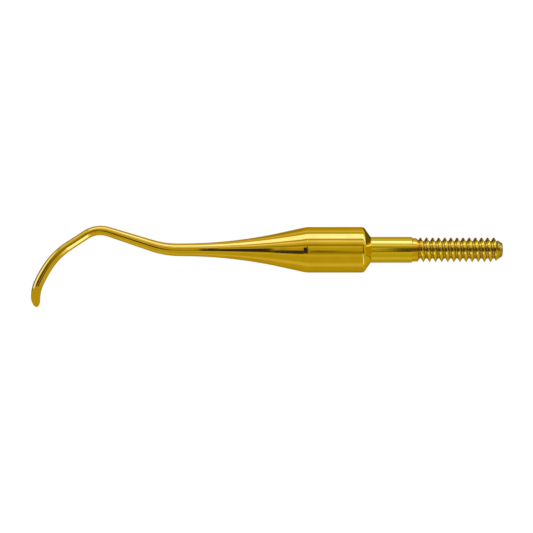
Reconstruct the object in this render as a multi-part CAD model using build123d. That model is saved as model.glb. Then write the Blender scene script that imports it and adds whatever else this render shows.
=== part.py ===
from build123d import *
import os
from math import cos, radians, sin, tan

# Screw-in elevator tip, in millimetres and degrees.
# The tool's axis is X. The handle comes on from +X, and the hook leaves towards -X and
# bends down towards -Z, all in the XZ plane. The ground face of the toe looks towards -Y.
# The origin is on the axis, where the seating cone meets the pilot.

# Barrel: the grip body, its seating cone and the pilot that enters the handle
BARREL_DIAMETER = 5.93
BARREL_LENGTH = 7.47
SEAT_HALF_ANGLE = 55.0
PILOT_LENGTH = 5.36
PILOT_ABOVE_THREAD = 0.0875
PILOT_EDGE_CHAMFER = 0.05

# Stud: collar, thread of 1/8 in outside diameter and 32 turns to the inch, and plain nose.
# The thread's form goes with its pitch, and the pilot and collar with its diameter.
THREAD_DIAMETER = 3.175
THREAD_PITCH = 25.4 / 32
THREAD_DEPTH = 0.567 * THREAD_PITCH
THREAD_CREST_FLAT = 0.1 * THREAD_PITCH
THREAD_FLANK_ANGLE = 30.0
THREAD_LENGTH = 10.3
THREAD_RUN_IN = 0.5 * THREAD_PITCH
COLLAR_BELOW_THREAD = 0.065
COLLAR_LENGTH = 0.55
NOSE_LENGTH = 0.51
NOSE_CHAMFER_LENGTH = 0.45
NOSE_END_DIAMETER = 1.66

# Hidden joints: the tang of the working end in the barrel, the stud's spigot in the pilot
TANG_DIAMETER = 3.0
TANG_LENGTH = 4.5
SPIGOT_DIAMETER = 1.9
SPIGOT_LENGTH = 3.0
BRAZE_GAP = 0.02
BORE_END_GAP = 0.2
JOINT_END_CHAMFER = 0.15

# Flare: an arc tangent to the neck, then a straight cone up to the barrel
FLARE_ARC_RADIUS = 60.4
FLARE_CONE_ANGLE = 12.4

# Shank and hook: straight runs and tangent arcs, and the rod's diameter where each one ends
NECK_DIAMETER = 1.66
NECK_LENGTH = 0.22
RISE_RADIUS = 11.9
RISE_ANGLE = 17.7
RISE_DIAMETER = 1.50
SHANK_LENGTH = 5.87
SHANK_DIAMETER = 1.25
HEEL_RADIUS = 3.45
HEEL_ANGLE = 50.8
HEEL_DIAMETER = 1.19
HOOK_LENGTH = 2.72
HOOK_DIAMETER = 1.22
BLADE_RADIUS = 9.2
BLADE_ANGLE = 22.9
BLADE_DIAMETER = 1.27
BELLY_RADIUS = 15.7
BELLY_ANGLE = 9.0
BELLY_DIAMETER = 1.31
CURL_RADIUS = 4.95
CURL_ANGLE = 28.0
CURL_DIAMETER = 1.21
TOE_LENGTH = 0.87
TOE_DIAMETER = 1.18

# Toe: a flat face ground across the front of the rod, down to an edge at its back
FACE_ANGLE = 24.5
GRINDING_STOCK = 0.4

barrel_radius = BARREL_DIAMETER / 2
neck_radius = NECK_DIAMETER / 2
tang_radius = TANG_DIAMETER / 2
spigot_radius = SPIGOT_DIAMETER / 2
thread_radius = THREAD_DIAMETER / 2
root_radius = thread_radius - THREAD_DEPTH
collar_radius = thread_radius - COLLAR_BELOW_THREAD
pilot_radius = thread_radius + PILOT_ABOVE_THREAD

barrel_rear = -(barrel_radius - pilot_radius) / tan(radians(SEAT_HALF_ANGLE))
barrel_front = barrel_rear - BARREL_LENGTH


def turned(profile_edges):
    """A solid of revolution about X, from a closed outline above the axis in the XZ plane."""
    return revolve(make_face(profile_edges), axis=Axis.X)


def outline(*points):
    """The closed outline through points given as (x, radius)."""
    return Plane.XZ * Polyline(*points, close=True)


def make_flare():
    """The turned flare with its tang, and the X position where it meets the neck."""
    arc_rise = FLARE_ARC_RADIUS * (1 - cos(radians(FLARE_CONE_ANGLE)))
    arc_run = FLARE_ARC_RADIUS * sin(radians(FLARE_CONE_ANGLE))
    cone_rise = barrel_radius - neck_radius - arc_rise
    cone_start = barrel_front - cone_rise / tan(radians(FLARE_CONE_ANGLE))
    flare_start = cone_start - arc_run
    tang_end = barrel_front + TANG_LENGTH

    arc = JernArc((flare_start, neck_radius), (1, 0), FLARE_ARC_RADIUS, FLARE_CONE_ANGLE)
    rest = Polyline(
        arc @ 1,
        (barrel_front, barrel_radius),
        (barrel_front, tang_radius),
        (tang_end - JOINT_END_CHAMFER, tang_radius),
        (tang_end, tang_radius - JOINT_END_CHAMFER),
        (tang_end, 0),
        (flare_start, 0),
        arc @ 0,
    )
    return turned(Plane.XZ * (arc + rest)), flare_start


class Rod:
    """A round rod that grows from stretch to stretch along straight runs and tangent bends."""

    def __init__(self, start, direction, diameter):
        self.tip = Vector(start)
        self.direction = Vector(direction)
        self.diameter = diameter
        self.stretches = []

    def follow(self, edge, end_diameter):
        """Adds a stretch along an edge, tapered to its end diameter."""
        edge = Plane.XZ * edge
        near_end = Plane(edge @ 0, z_dir=edge % 0) * Circle(self.diameter / 2)
        far_end = Plane(edge @ 1, z_dir=edge % 1) * Circle(end_diameter / 2)
        self.stretches.append(sweep([near_end, far_end], path=edge, multisection=True))
        self.diameter = end_diameter

    def straight(self, length, end_diameter):
        """Runs straight on for a length."""
        far = self.tip + self.direction * length
        self.follow(Line(self.tip, far), end_diameter)
        self.tip = far

    def bend(self, radius, angle, end_diameter):
        """Bends on an arc: to the left of its way for a positive angle, seen from -Y."""
        arc = JernArc(self.tip, self.direction, radius, angle)
        self.follow(arc, end_diameter)
        self.tip = arc @ 1
        self.direction = arc % 1


def make_working_end():
    """The flare, the tapered shank and the hooked blade, in one piece."""
    flare, flare_start = make_flare()
    rod = Rod((flare_start, 0), (-1, 0), NECK_DIAMETER)
    rod.straight(NECK_LENGTH, NECK_DIAMETER)
    rod.bend(RISE_RADIUS, -RISE_ANGLE, RISE_DIAMETER)
    rod.straight(SHANK_LENGTH, SHANK_DIAMETER)
    rod.bend(HEEL_RADIUS, HEEL_ANGLE, HEEL_DIAMETER)
    rod.straight(HOOK_LENGTH, HOOK_DIAMETER)
    rod.bend(BLADE_RADIUS, BLADE_ANGLE, BLADE_DIAMETER)
    rod.bend(BELLY_RADIUS, BELLY_ANGLE, BELLY_DIAMETER)
    rod.bend(CURL_RADIUS, CURL_ANGLE, CURL_DIAMETER)
    rod.straight(TOE_LENGTH, TOE_DIAMETER)
    toe_point = Plane.XZ.from_local_coords(rod.tip)
    toe_direction = Vector(rod.direction.X, 0, rod.direction.Y)
    rod.straight(GRINDING_STOCK, TOE_DIAMETER)

    # the face meets the back of the rod at the toe's tip, and looks forward and down
    tip = toe_point + Vector(0, TOE_DIAMETER / 2, 0)
    normal = Vector(0, -1, 0) * cos(radians(FACE_ANGLE)) + toe_direction * sin(radians(FACE_ANGLE))
    wheel_size = 4 * TOE_DIAMETER
    wheel = Plane(tip, z_dir=normal) * Pos(0, 0, wheel_size / 2) * Box(wheel_size, wheel_size, wheel_size)
    return flare + rod.stretches - wheel


def make_barrel():
    """The barrel, bored for the tang in front and for the stud behind."""
    tang_bore = tang_radius + BRAZE_GAP
    spigot_bore = spigot_radius + BRAZE_GAP
    return turned(
        outline(
            (barrel_front, tang_bore),
            (barrel_front, barrel_radius),
            (barrel_rear, barrel_radius),
            (0, pilot_radius),
            (PILOT_LENGTH - PILOT_EDGE_CHAMFER, pilot_radius),
            (PILOT_LENGTH, pilot_radius - PILOT_EDGE_CHAMFER),
            (PILOT_LENGTH, spigot_bore),
            (PILOT_LENGTH - SPIGOT_LENGTH - BORE_END_GAP, spigot_bore),
            (PILOT_LENGTH - SPIGOT_LENGTH - BORE_END_GAP, 0),
            (barrel_front + TANG_LENGTH + BORE_END_GAP, 0),
            (barrel_front + TANG_LENGTH + BORE_END_GAP, tang_bore),
        )
    )


def make_thread_ridge(ridge_start, thread_end):
    """The right-handed ridge of the thread, rooted in the core and cut off by a cone at each end."""
    buried = THREAD_DEPTH / 5
    half_crest = THREAD_CREST_FLAT / 2
    half_base = half_crest + (THREAD_DEPTH + buried) * tan(radians(THREAD_FLANK_ANGLE))
    profile = Plane.XZ * Polyline(
        (root_radius - buried, -half_base),
        (thread_radius, -half_crest),
        (thread_radius, half_crest),
        (root_radius - buried, half_base),
        close=True,
    )
    run_out = half_base
    helix = Helix(pitch=THREAD_PITCH, height=thread_end + run_out - ridge_start, radius=thread_radius)
    ridge = sweep(make_face(profile), path=helix, is_frenet=True)
    ridge = Pos(ridge_start, 0, 0) * Rot(0, 90, 0) * Rot(0, 0, -90) * ridge

    # the crest starts just under the collar's surface and ends in a 45 degree lead-in cone
    allowance = 0.02
    sunk_radius = collar_radius - allowance
    full_height = ridge_start + THREAD_RUN_IN
    envelope = turned(
        outline(
            (PILOT_LENGTH, 0),
            (PILOT_LENGTH, sunk_radius),
            (ridge_start + THREAD_RUN_IN / 2, sunk_radius),
            (full_height, thread_radius + allowance),
            (thread_end - THREAD_DEPTH - allowance, thread_radius + allowance),
            (thread_end + allowance, root_radius - allowance),
            (thread_end + allowance, 0),
        )
    )
    return ridge & envelope


def make_threaded_stud():
    """The stud: a spigot for the pilot's bore, a collar, the thread and the nose."""
    collar_end = PILOT_LENGTH + COLLAR_LENGTH
    thread_start = collar_end + collar_radius - root_radius
    thread_end = thread_start + THREAD_LENGTH
    nose_end = thread_end + NOSE_LENGTH
    spigot_end = PILOT_LENGTH - SPIGOT_LENGTH
    core = turned(
        outline(
            (spigot_end, 0),
            (spigot_end, spigot_radius - JOINT_END_CHAMFER),
            (spigot_end + JOINT_END_CHAMFER, spigot_radius),
            (PILOT_LENGTH, spigot_radius),
            (PILOT_LENGTH, collar_radius),
            (collar_end, collar_radius),
            (thread_start, root_radius),
            (nose_end - NOSE_CHAMFER_LENGTH, root_radius),
            (nose_end, NOSE_END_DIAMETER / 2),
            (nose_end, 0),
        )
    )
    ridge_start = collar_end - THREAD_CREST_FLAT / 2
    return core + make_thread_ridge(ridge_start, thread_end)


os.makedirs("parts", exist_ok=True)
nodes = {
    "working_end": make_working_end(),
    "barrel": make_barrel(),
    "threaded_stud": make_threaded_stud(),
}
for name, solid in nodes.items():
    export_step(solid, f"parts/{name}.step")
    print(name, len(solid.solids()), round(solid.volume, 3), solid.bounding_box())
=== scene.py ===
"""Looks of a screw-in dental elevator tip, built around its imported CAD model.

Each piece is shaped on a bench where one unit is a millimetre, brought to metres in the
CAD frame, and dressed in its own gold-coloured nitride finish.
"""

import logging
import math
from dataclasses import dataclass
from enum import Enum
from typing import Any, Optional, Union

import bmesh
import bpy
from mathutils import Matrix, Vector


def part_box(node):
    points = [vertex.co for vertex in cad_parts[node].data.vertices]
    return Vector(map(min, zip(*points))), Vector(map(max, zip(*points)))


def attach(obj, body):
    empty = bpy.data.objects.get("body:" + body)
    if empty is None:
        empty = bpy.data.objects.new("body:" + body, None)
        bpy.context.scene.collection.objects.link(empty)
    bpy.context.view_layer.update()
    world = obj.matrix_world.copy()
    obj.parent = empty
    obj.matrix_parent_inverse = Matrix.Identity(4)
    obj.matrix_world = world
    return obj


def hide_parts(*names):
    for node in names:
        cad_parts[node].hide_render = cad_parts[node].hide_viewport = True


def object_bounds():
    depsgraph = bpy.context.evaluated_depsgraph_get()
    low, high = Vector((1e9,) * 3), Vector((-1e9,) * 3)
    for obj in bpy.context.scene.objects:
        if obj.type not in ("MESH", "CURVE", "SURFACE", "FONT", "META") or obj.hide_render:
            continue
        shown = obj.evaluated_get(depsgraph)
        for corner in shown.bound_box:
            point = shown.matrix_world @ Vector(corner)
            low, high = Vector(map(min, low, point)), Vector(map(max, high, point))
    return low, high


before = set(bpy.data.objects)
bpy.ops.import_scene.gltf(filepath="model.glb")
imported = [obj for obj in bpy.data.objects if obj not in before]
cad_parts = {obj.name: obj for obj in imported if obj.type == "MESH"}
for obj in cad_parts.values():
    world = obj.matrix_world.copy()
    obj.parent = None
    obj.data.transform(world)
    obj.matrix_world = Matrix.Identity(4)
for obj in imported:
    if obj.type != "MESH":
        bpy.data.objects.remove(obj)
CAD_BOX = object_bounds()

LOG = logging.getLogger("elevator_tip")
MM = 0.001
ROUND_SEGMENTS = 128
MERGE_DISTANCE = 1e-5


class Handling(Enum):
    """What a boolean leaves of two solids."""

    JOIN = "UNION"
    KEEP_COMMON = "INTERSECT"


class Lay(Enum):
    """Which way the fine lines of a finish run."""

    POLISHED = "random hairlines, with a grain on the toe's ground face"
    TURNED = "rings round the axis, with worn edges"
    # The dark in the thread roots is painted shade, and the paler grooves are painted light.
    THREADED = "rings, with soiled roots and worn crests"


# ---------------------------------------------------------------- modelling bench


def node_mm(node: str) -> tuple[Vector, Vector]:
    """The lowest and highest corners of a CAD node, in millimetres.

    Args:
        node: the node's name.

    Returns:
        The two corners.
    """
    low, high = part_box(node)
    return low / MM, high / MM


def turned_left(arm: Vector, angle: float) -> Vector:
    """Turns a vector in the XZ plane, counter-clockwise as seen from -Y.

    Args:
        arm: the vector.
        angle: the turn in radians.

    Returns:
        The turned vector.
    """
    cosine, sine = math.cos(angle), math.sin(angle)
    return Vector((arm.x * cosine - arm.z * sine, arm.y, arm.x * sine + arm.z * cosine))


class Bench:
    """Mesh work on one piece, in millimetres, with Blender's own operators."""

    def __init__(self, name: str) -> None:
        """Names the piece that is being made.

        Args:
            name: the finished object's name.
        """
        self.name = name
        self.piece: Optional[bpy.types.Object] = None
        self.centre = Vector((0.0, 0.0, 0.0))
        self.radius = 0.0

    def clear_selection(self) -> None:
        """Leaves edit mode and deselects everything."""
        if bpy.context.object and bpy.context.object.mode != "OBJECT":
            bpy.ops.object.mode_set(mode="OBJECT")
        bpy.ops.object.select_all(action="DESELECT")

    def pick_up(self) -> None:
        """Makes this piece the only selected one, in object mode."""
        self.clear_selection()
        bpy.context.view_layer.objects.active = self.piece
        self.piece.select_set(True)

    def adopt(self, select_mode: str) -> None:
        """Takes the primitive just added as the piece, and opens all of it in edit mode.

        Args:
            select_mode: VERT, EDGE or FACE.
        """
        self.piece = bpy.context.object
        self.piece.name = self.name
        self.piece.data.name = self.name
        bpy.ops.object.transform_apply(location=True, rotation=True, scale=True)
        bpy.ops.object.mode_set(mode="EDIT")
        bpy.ops.mesh.select_mode(type=select_mode)
        bpy.ops.mesh.select_all(action="SELECT")

    def start_disc(self, x: float, radius: float) -> None:
        """Starts the piece as a filled disc across the X axis.

        Args:
            x: the disc's place on the axis.
            radius: the disc's radius.
        """
        self.clear_selection()
        bpy.ops.mesh.primitive_circle_add(
            vertices=ROUND_SEGMENTS,
            radius=radius,
            fill_type="NGON",
            location=(x, 0, 0),
            rotation=(0, math.pi / 2, 0),
        )
        self.adopt("EDGE")
        self.centre, self.radius = Vector((x, 0.0, 0.0)), radius

    def extrude(self, step: Vector) -> None:
        """Extrudes the open ring by a step."""
        bpy.ops.mesh.extrude_edges_move(TRANSFORM_OT_translate={"value": tuple(step)})
        self.centre = self.centre + step

    def swing(self, hub: Vector, angle: float) -> None:
        """Extrudes the open ring by a small turn about a hub, leftwards as seen from -Y.

        Args:
            hub: the centre of the bend.
            angle: the turn in radians.
        """
        bpy.ops.mesh.spin(
            steps=1, angle=angle, center=tuple(hub), axis=(0, 1, 0), use_auto_merge=False
        )
        self.centre = hub + turned_left(self.centre - hub, angle)

    def widen(self, radius: float) -> None:
        """Scales the open ring about its own centre to a radius."""
        if abs(radius - self.radius) > 1e-9:
            factor = radius / self.radius
            bpy.ops.transform.resize(
                value=(factor, factor, factor), center_override=tuple(self.centre)
            )
            self.radius = radius

    def turn_profile(self, points: list[tuple[float, float]]) -> None:
        """Extrudes the open ring through a turned outline.

        Args:
            points: places on the axis and radii, in order.
        """
        for x, radius in points:
            self.extrude(Vector((x, 0.0, 0.0)) - self.centre)
            self.widen(radius)

    def close_end(self) -> None:
        """Fills the open ring with one face."""
        bpy.ops.mesh.edge_face_add()

    def select_near(self, point: Vector, reach: float) -> None:
        """Selects the faces within reach of a point, and nothing else.

        Args:
            point: the point.
            reach: the distance.
        """
        bpy.ops.mesh.select_mode(type="FACE")
        mesh = bmesh.from_edit_mesh(self.piece.data)
        for face in mesh.faces:
            face.select_set((face.calc_center_median() - point).length < reach)
        bmesh.update_edit_mesh(self.piece.data)

    def cut_away(self, point: Vector, normal: Vector, reach: float = math.inf) -> None:
        """Cuts the piece with a plane, drops what is past it and fills the cut.

        Args:
            point: a point on the plane.
            normal: the side that is dropped.
            reach: how far from the point the cut goes.
        """
        self.select_near(point, reach)
        bpy.ops.mesh.bisect(
            plane_co=tuple(point),
            plane_no=tuple(normal),
            use_fill=True,
            clear_outer=True,
            threshold=MERGE_DISTANCE,
        )

    def combine(self, other: "Bench", handling: Handling) -> None:
        """Combines this closed piece with another one, which is used up.

        Args:
            other: the piece that is joined or kept in common.
            handling: what the boolean leaves.
        """
        self.pick_up()
        bpy.ops.object.modifier_add(type="BOOLEAN")
        boolean = self.piece.modifiers[-1]
        boolean.operation = handling.value
        boolean.solver = "EXACT"
        boolean.object = other.piece
        bpy.ops.object.modifier_apply(modifier=boolean.name)
        bpy.data.objects.remove(other.piece, do_unlink=True)

    def tidy_faces(self) -> None:
        """Merges doubles and turns every face outwards."""
        self.pick_up()
        bpy.ops.object.mode_set(mode="EDIT")
        bpy.ops.mesh.select_all(action="SELECT")
        bpy.ops.mesh.remove_doubles(threshold=MERGE_DISTANCE)
        bpy.ops.mesh.normals_make_consistent(inside=False)
        bpy.ops.object.mode_set(mode="OBJECT")

    def finish(self, smooth_angle: float) -> bpy.types.Object:
        """Brings the piece to metres and smooths its shading.

        Args:
            smooth_angle: edges under this angle, in degrees, are shaded smooth.

        Returns:
            The finished object, at the origin, unturned and unscaled.
        """
        self.tidy_faces()
        self.piece.scale = (MM, MM, MM)
        bpy.ops.object.transform_apply(location=True, rotation=True, scale=True)
        bpy.ops.object.shade_smooth_by_angle(angle=math.radians(smooth_angle))
        return self.piece


@dataclass(frozen=True)
class EdgeRound:
    """A rounded corner of a turned outline, where a cylinder gives way to a cone."""

    corner_x: float
    cylinder_radius: float
    cone_angle: float
    tangent_length: float
    cone_side: int
    steps: int = 10
    guard_length: float = 0.02

    @property
    def arc_radius(self) -> float:
        """The radius of the rounding."""
        return self.tangent_length / math.tan(math.radians(self.cone_angle) / 2)

    def point(self, share: float) -> tuple[float, float]:
        """A point of the rounding.

        Args:
            share: 0 where it leaves the cylinder, 1 where it meets the cone.

        Returns:
            The place on the axis and the radius.
        """
        turn = math.radians(self.cone_angle) * share
        advance = self.arc_radius * math.sin(turn) - self.tangent_length
        x = self.corner_x + self.cone_side * advance
        return x, self.cylinder_radius - self.arc_radius * (1 - math.cos(turn))

    def cylinder_guard(self) -> tuple[float, float]:
        """A point of the cylinder just before the rounding, which keeps its shading straight."""
        setback = self.tangent_length + self.guard_length
        return self.corner_x - self.cone_side * setback, self.cylinder_radius

    def cone_guard(self) -> tuple[float, float]:
        """A point of the cone just after the rounding, which keeps its shading straight."""
        slope = math.radians(self.cone_angle)
        x, radius = self.point(1.0)
        step = self.guard_length * math.cos(slope)
        return x + self.cone_side * step, radius - self.guard_length * math.sin(slope)

    def points(self, first: float = 0.0, last: float = 1.0) -> list[tuple[float, float]]:
        """Evenly spaced points of the rounding, from one share of it to another."""
        return [self.point(first + (last - first) * i / self.steps) for i in range(self.steps + 1)]


# ---------------------------------------------------------------- the three pieces


@dataclass(frozen=True)
class Run:
    """A straight stretch of the rod."""

    length: float
    end_diameter: float


@dataclass(frozen=True)
class Bend:
    """A bend of the rod, to the left of its way for a positive angle, as seen from -Y."""

    radius: float
    angle: float
    end_diameter: float

    @property
    def length(self) -> float:
        """The length along the middle of the bend."""
        return self.radius * math.radians(abs(self.angle))


@dataclass
class WorkingEnd:
    """The tang, the flare, the bent shank and the hooked blade with its ground toe."""

    tang_radius: float = 1.5
    tang_length: float = 4.5
    tang_chamfer: float = 0.15
    flare_arc_radius: float = 60.4
    flare_cone_angle: float = 12.4
    corner_tangent: float = 0.45
    neck_radius: float = 0.83
    stretches: tuple[Union[Run, Bend], ...] = (
        Run(0.22, 1.66),
        Bend(11.9, -17.7, 1.50),
        Run(5.87, 1.25),
        Bend(3.45, 50.8, 1.19),
        Run(2.72, 1.22),
        Bend(9.2, 22.9, 1.27),
        Bend(15.7, 9.0, 1.31),
        Bend(4.95, 28.0, 1.21),
        Run(0.87, 1.18),
    )
    taper_blend: float = 0.9
    face_angle: float = 24.5
    grinding_stock: float = 0.4
    face_cut_reach: float = 6.0
    ring_step: float = 0.12
    arc_steps: int = 60

    def corner(self) -> EdgeRound:
        """The soft corner where the flare meets the barrel."""
        low, high = node_mm("barrel")
        return EdgeRound(low.x, high.y, self.flare_cone_angle, self.corner_tangent, -1)

    def flare_outline(self) -> list[tuple[float, float]]:
        """The flare's outline from the barrel to the neck, as places on the axis and radii."""
        corner = self.corner()
        angle = math.radians(self.flare_cone_angle)
        arc_rise = self.flare_arc_radius * (1 - math.cos(angle))
        cone_rise = corner.cylinder_radius - self.neck_radius - arc_rise
        cone_start = corner.corner_x - cone_rise / math.tan(angle)
        flare_start = cone_start - self.flare_arc_radius * math.sin(angle)
        outline = corner.points(0.5, 1.0)
        for i in range(self.arc_steps + 1):
            turn = angle * (1 - i / self.arc_steps)
            x = flare_start + self.flare_arc_radius * math.sin(turn)
            outline.append((x, self.neck_radius + self.flare_arc_radius * (1 - math.cos(turn))))
        return outline

    def radius_along(self, way: float) -> float:
        """The rod's radius at a distance along it, with the changes of taper blended.

        Args:
            way: the distance from the neck.

        Returns:
            The radius.
        """
        shares = (-1.0, -0.5, 0.0, 0.5, 1.0)
        radii = [self.plain_radius(way + share * self.taper_blend) for share in shares]
        return sum(radii) / len(shares)

    def plain_radius(self, way: float) -> float:
        """The rod's radius at a distance along it, with a straight taper in each stretch."""
        start_radius = self.neck_radius
        for stretch in self.stretches:
            end_radius = stretch.end_diameter / 2
            if way < stretch.length:
                share = max(way, 0.0) / stretch.length
                return start_radius + (end_radius - start_radius) * share
            way -= stretch.length
            start_radius = end_radius
        return start_radius

    def grow_rod(self, bench: Bench) -> Vector:
        """Grows the rod from the neck to the toe and past it by the grinding stock.

        Args:
            bench: the bench whose open ring stands at the neck.

        Returns:
            The heading at the toe.
        """
        heading, way = Vector((-1.0, 0.0, 0.0)), 0.0
        for stretch in self.stretches:
            steps = max(2, round(stretch.length / self.ring_step))
            if isinstance(stretch, Bend):
                side = math.copysign(1.0, stretch.angle)
                hub = bench.centre + turned_left(heading, side * math.pi / 2) * stretch.radius
            for _ in range(steps):
                if isinstance(stretch, Bend):
                    turn = math.radians(stretch.angle) / steps
                    bench.swing(hub, turn)
                    heading = turned_left(heading, turn)
                else:
                    bench.extrude(heading * (stretch.length / steps))
                way += stretch.length / steps
                bench.widen(self.radius_along(way))
        return heading

    def build(self) -> bpy.types.Object:
        """Models the working end as one closed piece.

        Returns:
            The finished object.
        """
        bench = Bench("working_end_polished")
        front = self.corner().corner_x
        tang_end = front + self.tang_length
        bench.start_disc(tang_end, self.tang_radius - self.tang_chamfer)
        bench.turn_profile([(tang_end - self.tang_chamfer, self.tang_radius)])
        bench.turn_profile([(front, self.tang_radius)])
        bench.turn_profile(self.flare_outline())
        heading = self.grow_rod(bench)
        toe, toe_radius = bench.centre.copy(), bench.radius
        bench.extrude(heading * self.grinding_stock)
        bench.close_end()
        tilt = math.radians(self.face_angle)
        face_normal = Vector((0.0, -math.cos(tilt), 0.0)) + heading * math.sin(tilt)
        back_edge = toe + Vector((0.0, toe_radius, 0.0))
        bench.cut_away(back_edge, face_normal, reach=self.face_cut_reach * toe_radius)
        return bench.finish(smooth_angle=15)


@dataclass
class Barrel:
    """The round barrel, its seating cone and the pilot, bored at both ends."""

    seat_half_angle: float = 55.0
    corner_tangent: float = 0.45
    flare_cone_angle: float = 12.4
    rear_edge_tangent: float = 0.26
    pilot_radius: float = 1.675
    pilot_chamfer: float = 0.05
    tang_bore_radius: float = 1.52
    tang_bore_depth: float = 4.7
    spigot_bore_radius: float = 0.97
    spigot_bore_depth: float = 3.2

    def build(self) -> bpy.types.Object:
        """Models the barrel as one closed turned piece.

        Returns:
            The finished object.
        """
        low, high = node_mm("barrel")
        front, pilot_end, radius = low.x, high.x, high.y
        rear = -(radius - self.pilot_radius) / math.tan(math.radians(self.seat_half_angle))
        front_corner = EdgeRound(front, radius, self.flare_cone_angle, self.corner_tangent, -1)
        rear_corner = EdgeRound(rear, radius, self.seat_half_angle, self.rear_edge_tangent, 1)
        bench = Bench("barrel_turned")
        bench.start_disc(front + self.tang_bore_depth, self.tang_bore_radius)
        bench.turn_profile([(front, self.tang_bore_radius)])
        bench.turn_profile(front_corner.points(0.5, 0.0))
        bench.turn_profile([front_corner.cylinder_guard(), rear_corner.cylinder_guard()])
        bench.turn_profile(rear_corner.points(0.0, 1.0))
        bench.turn_profile([rear_corner.cone_guard()])
        bench.turn_profile(
            [
                (0.0, self.pilot_radius),
                (pilot_end - self.pilot_chamfer, self.pilot_radius),
                (pilot_end, self.pilot_radius - self.pilot_chamfer),
                (pilot_end, self.spigot_bore_radius),
                (pilot_end - self.spigot_bore_depth, self.spigot_bore_radius),
            ]
        )
        bench.close_end()
        return bench.finish(smooth_angle=20)


@dataclass
class ThreadedStud:
    """The spigot, the collar, the right-handed thread and the plain nose."""

    spigot_radius: float = 0.95
    spigot_chamfer: float = 0.15
    thread_radius: float = 1.5875
    collar_radius: float = 1.5225
    collar_length: float = 0.55
    pitch: float = 25.4 / 32
    nose_length: float = 0.51
    nose_chamfer_length: float = 0.45
    nose_end_radius: float = 0.83
    flank_angle: float = 30.0
    steps_per_turn: int = 96
    depth_to_pitch: float = 0.567
    crest_to_pitch: float = 0.1
    crest_bevel: float = 0.018
    margin: float = 0.02
    core_overlap: float = 0.04
    nose_edge: float = 0.05
    nose_overlap: float = 0.1
    bar_start: float = 0.3
    envelope_start: float = 0.2

    @property
    def depth(self) -> float:
        """The thread's depth."""
        return self.depth_to_pitch * self.pitch

    @property
    def crest_flat(self) -> float:
        """The width of the thread's crest."""
        return self.crest_to_pitch * self.pitch

    @property
    def root_radius(self) -> float:
        """The radius at the bottom of the thread."""
        return self.thread_radius - self.depth

    def thread_profile(self, bench: Bench, x: float) -> None:
        """Draws one pitch of the thread's outline, on the side that looks to -Y.

        Args:
            bench: the bench that gets it.
            x: the middle of the crest.
        """
        half_crest = self.crest_flat / 2
        half_base = half_crest + self.depth * math.tan(math.radians(self.flank_angle))
        outline = [
            (x - self.pitch / 2, self.root_radius),
            (x - half_base, self.root_radius),
            (x - half_crest, self.thread_radius),
            (x + half_crest, self.thread_radius),
            (x + half_base, self.root_radius),
            (x + self.pitch / 2, self.root_radius),
        ]
        bench.clear_selection()
        bpy.ops.mesh.primitive_plane_add(size=0.1, location=(outline[0][0], -outline[0][1], 0.0))
        bench.adopt("VERT")
        bpy.ops.mesh.merge(type="CENTER")
        for (x_from, r_from), (x_to, r_to) in zip(outline, outline[1:]):
            step = (x_to - x_from, r_from - r_to, 0.0)
            bpy.ops.mesh.extrude_vertices_move(TRANSFORM_OT_translate={"value": step})
        mesh = bmesh.from_edit_mesh(bench.piece.data)
        for vertex in mesh.verts:
            vertex.select_set(abs(vertex.co.x - x) < 0.49 * self.pitch)
        mesh.select_flush_mode()
        bmesh.update_edit_mesh(bench.piece.data)
        bpy.ops.mesh.bevel(offset=self.crest_bevel, segments=2, affect="VERTICES")

    def make_thread(self, start: float, end: float, crest: float) -> Bench:
        """Winds the thread's outline into a closed threaded bar.

        Args:
            start: where the bar begins on the axis.
            end: where it ends.
            crest: where the crest stands on the -Y side.

        Returns:
            The bench with the bar.
        """
        bench = Bench("thread")
        turns_before = math.ceil((crest - start) / self.pitch) + 2
        turns = turns_before + math.ceil((end - crest) / self.pitch) + 2
        self.thread_profile(bench, crest - turns_before * self.pitch)
        bench.pick_up()
        bpy.ops.object.modifier_add(type="SCREW")
        screw = bench.piece.modifiers[-1]
        screw.axis = "X"
        screw.angle = 2 * math.pi
        screw.screw_offset = self.pitch
        screw.iterations = turns
        screw.steps = screw.render_steps = self.steps_per_turn
        screw.use_merge_vertices = True
        screw.merge_threshold = 1e-4
        bpy.ops.object.modifier_apply(modifier=screw.name)
        bench.tidy_faces()
        bpy.ops.object.mode_set(mode="EDIT")
        bench.cut_away(Vector((start, 0.0, 0.0)), Vector((-1.0, 0.0, 0.0)))
        bench.cut_away(Vector((end, 0.0, 0.0)), Vector((1.0, 0.0, 0.0)))
        bench.tidy_faces()
        return bench

    def build(self) -> bpy.types.Object:
        """Models the stud as one closed piece.

        Returns:
            The finished object.
        """
        low, high = node_mm("threaded_stud")
        pilot_end = node_mm("barrel")[1].x
        collar_end = pilot_end + self.collar_length
        thread_start = collar_end + self.collar_radius - self.root_radius
        thread_end = high.x - self.nose_length
        crest = collar_end - self.crest_flat / 2
        full_height = crest + self.pitch / 2
        under_thread = self.root_radius - self.core_overlap
        margin = self.margin
        nose_start = thread_end - self.nose_overlap

        core = Bench("stud_threaded")
        core.start_disc(low.x, self.spigot_radius - self.spigot_chamfer)
        core.turn_profile(
            [
                (low.x + self.spigot_chamfer, self.spigot_radius),
                (pilot_end, self.spigot_radius),
                (pilot_end, self.collar_radius - margin),
                (pilot_end + margin, self.collar_radius),
                (collar_end, self.collar_radius),
                (collar_end + self.collar_radius - under_thread, under_thread),
                (nose_start, under_thread),
                (nose_start + self.core_overlap, self.root_radius - margin / 4),
                (high.x - self.nose_chamfer_length, self.root_radius - margin / 4),
                (high.x - self.nose_edge, self.nose_end_radius + self.nose_edge),
                (high.x, self.nose_end_radius - self.nose_edge),
            ]
        )
        core.close_end()
        core.tidy_faces()

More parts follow.
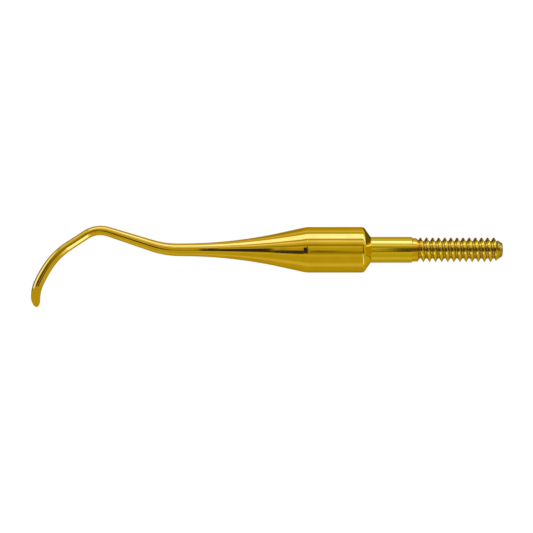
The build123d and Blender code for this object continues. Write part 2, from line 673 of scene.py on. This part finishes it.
        thread = self.make_thread(pilot_end + self.bar_start, thread_end + margin, crest)
        envelope = Bench("thread_envelope")
        envelope.start_disc(pilot_end + self.envelope_start, self.collar_radius - margin)
        envelope.turn_profile(
            [
                (crest + self.pitch / 4, self.collar_radius - margin),
                (full_height, self.thread_radius + margin),
                (thread_end - self.depth - margin, self.thread_radius + margin),
                (thread_end + 2 * margin, self.root_radius - 2 * margin),
            ]
        )
        envelope.close_end()
        envelope.tidy_faces()
        thread.combine(envelope, Handling.KEEP_COMMON)
        thread.tidy_faces()
        core.combine(thread, Handling.JOIN)
        return core.finish(smooth_angle=28)


# ---------------------------------------------------------------- shader bench


Number = Union[float, "Value"]


class Value:
    """A shader number: Python arithmetic on it adds Math nodes."""

    def __init__(self, bench: "ShaderBench", socket: bpy.types.NodeSocket) -> None:
        """Wraps a socket.

        Args:
            bench: the bench whose tree holds it.
            socket: the output socket that gives the number.
        """
        self.bench = bench
        self.socket = socket

    def math(self, operation: str, *others: Number) -> "Value":
        """One Math node with this value first.

        Args:
            operation: the node's operation.
            others: the node's other inputs.

        Returns:
            The node's result.
        """
        inputs = {0: self, **{i + 1: other for i, other in enumerate(others)}}
        return self.bench.value("ShaderNodeMath", {"operation": operation}, inputs)

    def __add__(self, other: Number) -> "Value":
        """self + other."""
        return self.math("ADD", other)

    __radd__ = __add__

    def __mul__(self, other: Number) -> "Value":
        """self * other."""
        return self.math("MULTIPLY", other)

    __rmul__ = __mul__

    def __sub__(self, other: Number) -> "Value":
        """self - other."""
        return self.math("SUBTRACT", other)

    def __rsub__(self, other: Number) -> "Value":
        """other - self."""
        return (self * -1.0) + other

    def __truediv__(self, other: Number) -> "Value":
        """self / other."""
        return self.math("DIVIDE", other)

    def __pow__(self, other: Number) -> "Value":
        """self to a power."""
        return self.math("POWER", other)

    def ramp(self, start: float, end: float) -> "Value":
        """0 at start, 1 at end, smooth between them and held beyond them.

        Args:
            start: where it is 0.
            end: where it is 1.

        Returns:
            The ramped value.
        """
        settings = {"interpolation_type": "SMOOTHSTEP"}
        inputs = {"Value": self, "From Min": start, "From Max": end, "To Min": 0.0, "To Max": 1.0}
        return self.bench.value("ShaderNodeMapRange", settings, inputs)


class ShaderBench:
    """Adds nodes to one node tree."""

    def __init__(self, tree: bpy.types.NodeTree) -> None:
        """Clears the tree.

        Args:
            tree: the tree of a material or a world.
        """
        self.tree = tree
        tree.nodes.clear()

    def node(self, kind: str, settings: dict[str, Any], inputs: dict[Any, Any]) -> bpy.types.Node:
        """Adds one node.

        Args:
            kind: the node's type.
            settings: the node's own settings, set first.
            inputs: values, sockets or Values for its inputs, by name or number.

        Returns:
            The node.
        """
        node = self.tree.nodes.new(kind)
        for name, setting in settings.items():
            setattr(node, name, setting)
        for name, given in inputs.items():
            if isinstance(given, Value):
                given = given.socket
            if isinstance(given, bpy.types.NodeSocket):
                self.tree.links.new(given, node.inputs[name])
            else:
                node.inputs[name].default_value = given
        return node

    def value(self, kind: str, settings: dict[str, Any], inputs: dict[Any, Any]) -> Value:
        """Adds one node and wraps its first output as a Value."""
        return Value(self, self.node(kind, settings, inputs).outputs[0])

    def mix_colour(self, share: Value, first: Any, second: Any) -> bpy.types.NodeSocket:
        """Mixes two colours.

        Args:
            share: 0 for the first, 1 for the second.
            first: a colour or a socket.
            second: a colour or a socket.

        Returns:
            The mixed colour's socket.
        """
        node = self.node("ShaderNodeMix", {"data_type": "RGBA"}, {0: share, 6: first, 7: second})
        return node.outputs[2]

    def axes(self, vector: bpy.types.NodeSocket) -> tuple[Value, Value, Value]:
        """Splits a vector into its three numbers."""
        node = self.node("ShaderNodeSeparateXYZ", {}, {0: vector})
        x, y, z = (Value(self, output) for output in node.outputs)
        return x, y, z

    def stretched(
        self, vector: bpy.types.NodeSocket, turn: tuple[float, ...], scale: tuple[float, ...]
    ) -> bpy.types.NodeSocket:
        """Turns and scales coordinates.

        Args:
            vector: the coordinates.
            turn: the turn in degrees about X, Y and Z.
            scale: the scale along X, Y and Z.

        Returns:
            The socket with the new coordinates.
        """
        turn_radians = tuple(math.radians(angle) for angle in turn)
        inputs = {"Vector": vector, "Rotation": turn_radians, "Scale": scale}
        return self.node("ShaderNodeMapping", {"vector_type": "POINT"}, inputs).outputs[0]

    def noise(self, vector: bpy.types.NodeSocket, scale: float, detail: float) -> Value:
        """Soft noise around 0.5.

        Args:
            vector: the coordinates.
            scale: how many features a unit holds.
            detail: how many finer layers it has.

        Returns:
            The noise.
        """
        inputs = {"Vector": vector, "Scale": scale, "Detail": detail, "Roughness": 0.55}
        return self.value("ShaderNodeTexNoise", {"noise_dimensions": "3D"}, inputs)


# ---------------------------------------------------------------- finishes


@dataclass
class Look:
    """What a finish feeds its shader with, while it is being put together."""

    colour: bpy.types.NodeSocket
    roughness: Value
    height: Value


@dataclass(frozen=True)
class NitrideFinish:
    """A gold-coloured nitride coating: its colours, its gloss and the lines under it."""

    name: str
    lay: Lay
    gold: tuple[float, float, float, float] = (0.95, 0.70, 0.25, 1.0)
    deep_gold: tuple[float, float, float, float] = (0.90, 0.64, 0.20, 1.0)
    # Painted light: a paler gold for the thread grooves and the seating cone, which makes up for the
    # darkening of repeated reflections between their faces.
    painted_light_gold: tuple[float, float, float, float] = (0.97, 0.85, 0.30, 1.0)
    worn_gold: tuple[float, float, float, float] = (0.96, 0.76, 0.36, 1.0)
    # Painted shade: a dark brown laid into the thread roots, where the faces mirror the dark surround.
    painted_root_shade: tuple[float, float, float, float] = (0.42, 0.27, 0.10, 1.0)
    edge_tint: tuple[float, float, float, float] = (0.80, 0.60, 0.20, 1.0)
    roughness: float = 0.045
    cloud_roughness: float = 0.02
    scratch_roughness: float = 0.05
    line_height: float = 0.05e-6
    cloud_scale: float = 260.0
    speck_scale: float = 4200.0
    hairline_scale: tuple[float, float, float] = (260.0, 9000.0, 9000.0)
    hairline_limits: tuple[float, float] = (0.68, 0.76)
    hairline_turns: tuple[tuple[float, float, float], ...] = (
        (0.0, 21.0, 8.0),
        (35.0, -38.0, 12.0),
        (-20.0, 64.0, -30.0),
    )
    fine_ring_scale: tuple[float, float, float] = (16000.0, 120.0, 120.0)
    coarse_ring_scale: tuple[float, float, float] = (3200.0, 60.0, 60.0)
    toe_height: tuple[float, float] = (-0.0040, -0.0048)
    toe_front: tuple[float, float] = (0.0003, 0.0001)
    toe_grain_turn: tuple[float, float, float] = (0.0, -35.0, 0.0)
    toe_grain_scale: tuple[float, float, float] = (14000.0, 900.0, 900.0)
    seat_place: tuple[float, float] = (-0.00094, -0.00084)
    seat_radius: tuple[float, float] = (0.00160, 0.00175)
    rim_place: tuple[float, float] = (-0.00130, -0.00100)
    rim_radius: tuple[float, float] = (0.00270, 0.00292)
    corner_place: tuple[float, float] = (-0.00790, -0.00830)
    corner_radius: tuple[float, float] = (0.00285, 0.00294)
    thread_place: tuple[float, float] = (0.0062, 0.0064)
    groove_radius: tuple[float, float] = (0.00156, 0.00150)
    root_radius: tuple[float, float] = (0.00140, 0.00118)
    crest_radius: tuple[float, float] = (0.00155, 0.00158)

    def hairlines(self, bench: ShaderBench, place: bpy.types.NodeSocket) -> Value:
        """Sparse fine scratches in three directions.

        Args:
            bench: the material's bench.
            place: object coordinates in metres.

        Returns:
            0 between the scratches and 1 on them.
        """
        total: Optional[Value] = None
        for turn in self.hairline_turns:
            along = bench.stretched(place, turn, self.hairline_scale)
            scratch = bench.noise(along, 1.0, 1.0).ramp(*self.hairline_limits)
            total = scratch if total is None else total + scratch
        return total.math("MINIMUM", 1.0)

    def lathe_rings(self, bench: ShaderBench, place: bpy.types.NodeSocket) -> Value:
        """Fine rings round the axis, uneven in depth.

        Args:
            bench: the material's bench.
            place: object coordinates in metres.

        Returns:
            The height of the rings around 0.5.
        """
        unturned = (0.0, 0.0, 0.0)
        fine = bench.noise(bench.stretched(place, unturned, self.fine_ring_scale), 1.0, 2.0)
        coarse = bench.noise(bench.stretched(place, unturned, self.coarse_ring_scale), 1.0, 1.0)
        return fine * 0.6 + coarse * 0.4

    def from_axis(self, bench: ShaderBench, place: bpy.types.NodeSocket) -> Value:
        """The distance from the X axis, in metres."""
        _, across, up = bench.axes(place)
        return (across * across + up * up) ** 0.5

    def grind_toe(self, bench: ShaderBench, place: bpy.types.NodeSocket, look: Look) -> None:
        """Gives the toe's ground face its grain.

        Args:
            bench: the material's bench.
            place: object coordinates in metres.
            look: the look that is changed.
        """
        _, across, up = bench.axes(place)
        ground = up.ramp(*self.toe_height) * across.ramp(*self.toe_front)
        across_face = bench.stretched(place, self.toe_grain_turn, self.toe_grain_scale)
        grain = bench.noise(across_face, 1.0, 2.0)
        specks = bench.noise(place, self.speck_scale, 2.0)
        look.height = look.height + grain * ground * 3.0
        look.roughness = look.roughness + ground * (specks * 0.10 + 0.06)
        shaded = ground * grain.ramp(0.45, 0.7) * 0.6
        look.colour = bench.mix_colour(shaded, look.colour, self.deep_gold)

    def wear_edges_and_paint_seat_light(self, bench: ShaderBench, place: bpy.types.NodeSocket, look: Look) -> None:
        """Wears the barrel's two edges, and paints light onto its seating cone with a paler gold.

        Args:
            bench: the material's bench.
            place: object coordinates in metres.
            look: the look that is changed.
        """
        along = bench.axes(place)[0]
        from_axis = self.from_axis(bench, place)
        specks = bench.noise(place, self.speck_scale, 2.0)
        seat = along.ramp(*self.seat_place) * from_axis.ramp(*self.seat_radius)
        rim = along.ramp(*self.rim_place) * from_axis.ramp(*self.rim_radius)
        corner = along.ramp(*self.corner_place) * from_axis.ramp(*self.corner_radius)
        worn = (rim + corner) * specks.ramp(0.45, 0.62)
        # Painted light: the seating cone is paled with the lighter gold.
        look.colour = bench.mix_colour(seat, look.colour, self.painted_light_gold)
        look.colour = bench.mix_colour(worn * 0.5, look.colour, self.worn_gold)
        look.roughness = look.roughness + worn * 0.05

    def wear_and_paint_light_on_thread(self, bench: ShaderBench, place: bpy.types.NodeSocket, look: Look) -> None:
        """Wears the thread's crests, dulls its roots, paints shade into the roots and paints light
        into the grooves with a paler gold.

        Args:
            bench: the material's bench.
            place: object coordinates in metres.
            look: the look that is changed.
        """
        cut = bench.axes(place)[0].ramp(*self.thread_place)
        from_axis = self.from_axis(bench, place)
        specks = bench.noise(place, self.speck_scale, 2.0)
        groove = from_axis.ramp(*self.groove_radius) * cut
        root = from_axis.ramp(*self.root_radius) * cut
        crest = from_axis.ramp(*self.crest_radius) * cut
        worn = crest * specks.ramp(0.45, 0.60) * 0.6
        # Painted shade in the roots, made uneven by the specks.
        shade_painted = root * (specks.ramp(0.45, 0.60) * 0.4 + 0.5)
        # Painted light in the grooves (paler gold), and painted shade in the roots (dark brown).
        look.colour = bench.mix_colour(groove, look.colour, self.painted_light_gold)
        look.colour = bench.mix_colour(worn, look.colour, self.worn_gold)
        look.colour = bench.mix_colour(shade_painted, look.colour, self.painted_root_shade)
        look.roughness = look.roughness + root * 0.10 + groove * 0.05 + crest * 0.04

    def material(self) -> bpy.types.Material:
        """Makes the finish's material.

        Returns:
            The material.
        """
        material = bpy.data.materials.new(self.name)
        material.use_nodes = True
        bench = ShaderBench(material.node_tree)
        place = bench.node("ShaderNodeTexCoord", {}, {}).outputs["Object"]
        clouds = bench.noise(place, self.cloud_scale, 3.0)
        scratches = self.hairlines(bench, place)
        roughness = clouds * self.cloud_roughness + scratches * self.scratch_roughness
        look = Look(
            colour=bench.mix_colour(clouds.ramp(0.35, 0.65), self.gold, self.deep_gold),
            roughness=roughness + self.roughness,
            height=scratches * -0.5,
        )
        if self.lay is Lay.POLISHED:
            self.grind_toe(bench, place, look)
        else:
            look.height = look.height + self.lathe_rings(bench, place)
        if self.lay is Lay.TURNED:
            self.wear_edges_and_paint_seat_light(bench, place, look)
        if self.lay is Lay.THREADED:
            self.wear_and_paint_light_on_thread(bench, place, look)
        relief = {"Strength": 1.0, "Distance": self.line_height, "Height": look.height}
        bump = bench.node("ShaderNodeBump", {}, relief)
        shader = bench.node(
            "ShaderNodeBsdfPrincipled",
            {},
            {
                "Base Color": look.colour,
                "Metallic": 1.0,
                "Roughness": look.roughness,
                "Specular Tint": self.edge_tint,
                "Normal": bump.outputs[0],
            },
        )
        bench.node("ShaderNodeOutputMaterial", {}, {"Surface": shader.outputs[0]})
        return material


# ---------------------------------------------------------------- studio


@dataclass(frozen=True)
class Card:
    """A softbox, reflector or flag of the studio's surround, seen from the object.

    Tilt is the angle round the X axis: 0 looks to -Y, 90 up and -90 down. Side is the angle
    out of the YZ plane, positive to +X. Turn tips both round the Y axis, so that a card can
    lie along a sloping part. All angles are in degrees.
    """

    name: str
    tilt: tuple[float, float]
    side: tuple[float, float]
    level: float
    soft: float
    side_soft: float
    turn: float = 0.0


@dataclass
class Studio:
    """The pale floor, the soft surround that the gold mirrors, and the camera."""

    floor_drop: float = 0.10
    floor_radius: float = 1.5
    view_width: float = 0.0693
    lens: float = 120.0
    sensor: float = 36.0
    fill: float = 0.49
    bright_step: float = 1.15
    dark_levels: tuple[float, float] = (0.08, 0.04)
    fill_tint: tuple[float, float, float, float] = (0.98, 0.81, 0.03, 1.0)
    bright_tint: tuple[float, float, float, float] = (0.72, 0.76, 0.69, 1.0)
    dark_tint: tuple[float, float, float, float] = (1.08, 0.83, 1.2, 1.0)
    cards: tuple[Card, ...] = (
        Card("rear_strip", (102.0, 115.0), (-60.0, 80.0), 0.74, 6.0, 4.0),
        Card("overhead_softbox", (58.5, 87.5), (-28.0, 75.0), 1.75, 1.5, 2.0),
        Card("softbox_skirt", (52.5, 56.5), (-28.0, 60.0), 0.44, 1.0, 2.0),
        Card("upper_strip", (39.0, 48.0), (-28.0, 60.0), 1.05, 3.5, 2.0),
        Card("upper_glow", (31.0, 39.0), (-28.0, 60.0), 0.64, 3.0, 2.0),
        Card("front_gap", (20.0, 26.0), (-60.0, 60.0), 0.24, 2.5, 4.0),
        Card("front_strip", (10.0, 16.0), (-60.0, 60.0), 0.62, 3.0, 4.0),
        Card("front_shade", (-20.0, -8.0), (-60.0, 60.0), 0.31, 3.0, 4.0),
        Card("lower_strip", (-34.0, -28.0), (-60.0, 60.0), 0.63, 4.0, 4.0),
        Card("ground_strip", (-94.0, -72.0), (-70.0, 70.0), 0.66, 6.0, 4.0),
        Card("rear_left_shade", (128.0, 182.0), (-95.0, -9.0), 0.12, 8.0, 3.0),
        Card("rear_right_shade", (128.0, 182.0), (12.0, 95.0), 0.12, 8.0, 3.0),
        Card("left_panel", (-70.0, 100.0), (-95.0, -46.0), 1.45, 4.0, 3.0),
        Card("left_flag_head", (-19.0, 18.0), (-10.5, -6.8), 0.03, 1.5, 0.6),
        Card("left_flag", (-20.0, 12.0), (-22.4, -10.0), 0.03, 1.5, 1.0),
        Card("left_flag_foot", (-24.0, -4.0), (-24.8, -22.4), 0.03, 1.5, 0.8),
        Card("blade_flag", (-8.0, 22.0), (-44.0, -24.6), 0.04, 4.0, 1.0),
        Card("right_flag", (-18.0, 16.0), (4.05, 5.2), 0.02, 1.0, 0.06),
        Card("right_flag_far", (-18.0, 20.0), (9.0, 28.0), 0.05, 1.5, 1.0),
        Card("barrel_shade", (-14.0, -3.0), (1.4, 2.2), 0.10, 2.0, 0.4),
        Card("hook_top", (58.0, 98.0), (-10.0, 1.0), 0.84, 6.0, 2.0, 33.0),
        Card("hook_glow", (-80.0, -40.0), (-13.0, 3.0), 1.1, 5.0, 3.0, 33.0),
        Card("hook_line", (-3.0, 5.0), (-6.6, -3.4), 0.20, 2.0, 0.5, 33.0),
        Card("hook_reflector", (-88.0, -21.5), (-7.6, -2.6), 1.9, 2.0, 1.0, 33.0),
    )

    def card_mask(self, card: Card, tilt: Value, side: Value) -> Value:
        """Where a card stands in the surround: 1 on it, 0 off it, soft at its edges."""
        near = tilt.ramp(card.tilt[0] - card.soft, card.tilt[0] + card.soft)
        far = tilt.ramp(card.tilt[1] + card.soft, card.tilt[1] - card.soft)
        left = side.ramp(card.side[0] - card.side_soft, card.side[0] + card.side_soft)
        right = side.ramp(card.side[1] + card.side_soft, card.side[1] - card.side_soft)
        return near * far * left * right

    def angles(self, along: Value, across: Value, up: Value, turn: float) -> tuple[Value, Value]:
        """The tilt and side angles of a direction, in axes tipped round Y.

        Args:
            along: the direction's X part.
            across: its Y part.
            up: its Z part.
            turn: how far the axes are tipped, from X towards Z.

        Returns:
            Tilt and side in degrees.
        """
        cosine, sine = math.cos(math.radians(turn)), math.sin(math.radians(turn))
        tipped_along = along * cosine + up * sine
        tipped_up = up * cosine - along * sine
        tilt = tipped_up.math("ARCTAN2", across * -1.0) * math.degrees(1.0)
        return tilt, tipped_along.math("ARCSINE") * math.degrees(1.0)

    def surround(self) -> None:
        """Makes the world: white behind the object, and the cards in its reflections."""
        world = bpy.data.worlds.new("studio_surround")
        bpy.context.scene.world = world
        world.use_nodes = True
        bench = ShaderBench(world.node_tree)
        way = bench.node("ShaderNodeTexCoord", {}, {}).outputs["Generated"]
        along, across, up = bench.axes(way)
        tilt, side = self.angles(along, across, up, 0.0)
        level: Number = self.fill
        for card in self.cards:
            if card.turn:
                mask = self.card_mask(card, *self.angles(along, across, up, card.turn))
            else:
                mask = self.card_mask(card, tilt, side)
            level = level + mask * (card.level - level)
        share = (level - self.fill) / self.bright_step
        share = share.math("MAXIMUM", 0.0).math("MINIMUM", 1.0)
        tint = bench.mix_colour(share, self.fill_tint, self.bright_tint)
        tint = bench.mix_colour(level.ramp(*self.dark_levels), tint, self.dark_tint)
        mirrored = bench.node("ShaderNodeBackground", {}, {"Color": tint, "Strength": level})
        seen = bench.node("ShaderNodeBackground", {}, {"Color": (1.0, 1.0, 1.0, 1.0), "Strength": 1.0})
        in_mirror = bench.node("ShaderNodeLightPath", {}, {}).outputs["Is Glossy Ray"]
        mixed = bench.node(
            "ShaderNodeMixShader", {}, {0: in_mirror, 1: seen.outputs[0], 2: mirrored.outputs[0]}
        )
        bench.node("ShaderNodeOutputWorld", {}, {"Surface": mixed.outputs[0]})

    def floor(self) -> bpy.types.Object:
        """Lays the pale floor under the object.

        Returns:
            The floor.
        """
        bpy.ops.object.select_all(action="DESELECT")
        low, high = CAD_BOX
        middle = (low + high) / 2
        place = (middle.x, middle.y, low.z - self.floor_drop)
        bpy.ops.mesh.primitive_circle_add(
            vertices=96, radius=self.floor_radius, fill_type="NGON", location=place
        )
        floor = bpy.context.object
        floor.name = "studio_floor"
        floor.visible_glossy = False
        material = bpy.data.materials.new("pale_floor")
        material.use_nodes = True
        bench = ShaderBench(material.node_tree)
        shader = bench.node(
            "ShaderNodeBsdfPrincipled",
            {},
            {
                "Base Color": (0.9, 0.9, 0.9, 1.0),
                "Roughness": 0.9,
                "Emission Color": (1.0, 1.0, 1.0, 1.0),
                "Emission Strength": 0.6,
            },
        )
        bench.node("ShaderNodeOutputMaterial", {}, {"Surface": shader.outputs[0]})
        floor.data.materials.append(material)
        return floor

    def camera(self) -> None:
        """Sets the camera level with the object's middle, square to its side."""
        low, high = CAD_BOX
        middle = (low + high) / 2
        distance = self.view_width * self.lens / self.sensor
        data = bpy.data.cameras.new("studio_camera")
        data.lens, data.sensor_width = self.lens, self.sensor
        data.clip_start = 0.01
        camera = bpy.data.objects.new("studio_camera", data)
        bpy.context.scene.collection.objects.link(camera)
        camera.location = (middle.x, middle.y - distance, middle.z)
        camera.rotation_euler = (math.pi / 2, 0.0, 0.0)
        bpy.context.scene.camera = camera

    def build(self) -> None:
        """Sets up the whole studio."""
        self.surround()
        self.floor()
        self.camera()
        bpy.context.scene.view_settings.view_transform = "Standard"


# ---------------------------------------------------------------- assembly


def dress(piece: bpy.types.Object, finish: NitrideFinish, node: str) -> None:
    """Gives a piece its finish, and its place in the assembly.

    Args:
        piece: the finished mesh.
        finish: its coating.
        node: the CAD node that it stands for.
    """
    piece.data.materials.clear()
    piece.data.materials.append(finish.material())
    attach(piece, "root")
    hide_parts(node)
    LOG.info("%s: %d faces, finish %s", piece.name, len(piece.data.polygons), finish.name)


def main() -> None:
    """Builds the studio and the three pieces."""
    logging.basicConfig(level=logging.INFO, format="%(name)s: %(message)s")
    Studio().build()
    dress(
        WorkingEnd().build(),
        NitrideFinish("polished_nitride", Lay.POLISHED),
        "working_end",
    )
    dress(Barrel().build(), NitrideFinish("turned_nitride", Lay.TURNED), "barrel")
    dress(
        ThreadedStud().build(),
        NitrideFinish("thread_nitride", Lay.THREADED, roughness=0.035, line_height=0.02e-6),
        "threaded_stud",
    )


if __name__ == "__main__":
    main()
